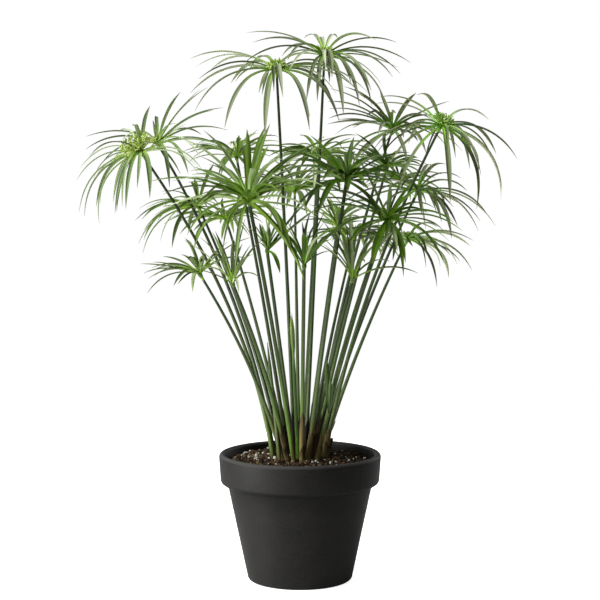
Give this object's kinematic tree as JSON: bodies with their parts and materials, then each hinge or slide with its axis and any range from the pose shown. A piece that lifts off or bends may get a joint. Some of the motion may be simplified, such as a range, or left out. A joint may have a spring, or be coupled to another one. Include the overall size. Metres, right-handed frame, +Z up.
{
  "type": "potted umbrella sedge",
  "caption": "Umbrella sedge in a banded clay pot: a fountain of bare culms, each topped by a whorl of long narrow bracts that arch over like the ribs of a parasol.",
  "frame": {"origin": "middle of the pot's underside, on the surface that it stands on", "axes": "+Z up along the pot's axis; -Y is the front that the picture shows; +X to the viewer's right"},
  "size_m": [0.4144, 0.3885, 0.5243],
  "materials": {
    "clay": "matt charcoal clay",
    "potting_mix": "loose dark potting mix with white perlite",
    "culm": "smooth green stem, brown sheath at the foot",
    "bract": "thin ribbed leaf blade",
    "young_growth": "fresh light green growth",
    "dry_sheath": "dry papery brown sheath"
  },
  "bodies": {
    "root": {"pot": "clay", "soil": "potting_mix", "culm_01": "culm", "culm_02": "culm", "culm_03": "culm", "culm_04": "culm", "culm_05": "culm", "culm_06": "culm", "culm_07": "culm", "culm_08": "culm", "culm_09": "culm", "culm_10": "culm", "culm_11": "culm", "culm_12": "culm", "culm_13": "culm", "culm_14": "culm", "culm_15": "culm", "culm_16": "culm", "culm_17": "culm", "culm_18": "culm", "culm_19": "culm", "culm_20": "culm", "culm_21": "culm", "culm_22": "culm", "culm_23": "culm", "culm_24": "culm", "culm_25": "culm", "whorl_01": "bract", "whorl_02": "bract", "whorl_03": "bract", "whorl_04": "bract", "whorl_05": "bract", "whorl_06": "bract", "whorl_07": "bract", "whorl_08": "bract", "whorl_09": "bract", "whorl_10": "bract", "whorl_11": "bract", "whorl_12": "bract", "whorl_13": "bract", "whorl_14": "bract", "whorl_15": "bract", "whorl_16": "bract", "whorl_17": "bract", "whorl_18": "bract", "whorl_19": "bract", "whorl_20": "bract", "whorl_21": "bract", "whorl_22": "bract", "whorl_23": "bract", "whorl_24": "bract", "whorl_25": "bract", "young_shoot": "young_growth", "young_spear": "young_growth", "old_stub": "dry_sheath"}
  },
  "joints": []
}
